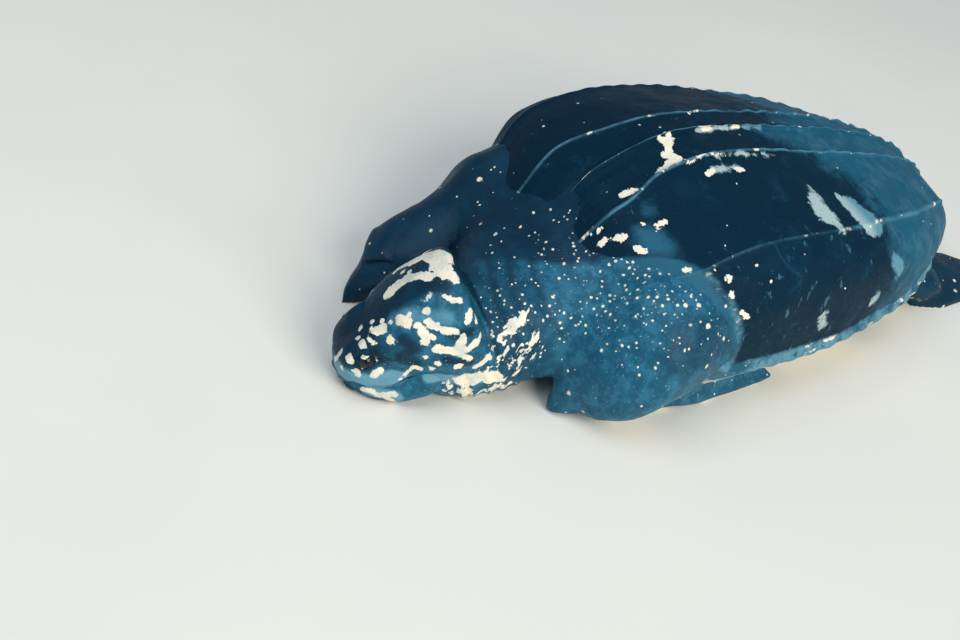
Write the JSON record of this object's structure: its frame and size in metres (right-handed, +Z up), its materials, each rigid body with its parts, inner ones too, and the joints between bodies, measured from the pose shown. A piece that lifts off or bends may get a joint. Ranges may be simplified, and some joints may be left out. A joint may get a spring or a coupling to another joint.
{
  "type": "leatherback sea turtle",
  "caption": "Life-size still model of an adult leatherback sea turtle lying on its belly, chin down and front flippers folded back along its sides.",
  "frame": {"origin": "on the flat of the belly, under the middle of the shell's length", "axes": "+Z up, +Y along the body towards the tail with the head at -Y, +X to the turtle's left"},
  "size_m": [0.9879, 2.0098, 0.4905],
  "materials": {
    "shell": "wet, smooth, finely grained leathery skin over the ridged shell",
    "belly": "pale, smooth leathery skin with dark mottling",
    "skin": "damp, smooth leathery skin with cream spots and fine creases",
    "eye": "wet gloss"
  },
  "bodies": {
    "root": {"carapace": "shell", "plastron": "belly", "neck": "skin", "head": "skin", "lower_jaw": "skin", "eye_left": "eye", "eye_right": "eye", "front_flipper_left": "skin", "front_flipper_right": "skin", "hind_flipper_left": "skin", "hind_flipper_right": "skin", "tail": "skin"}
  },
  "joints": []
}
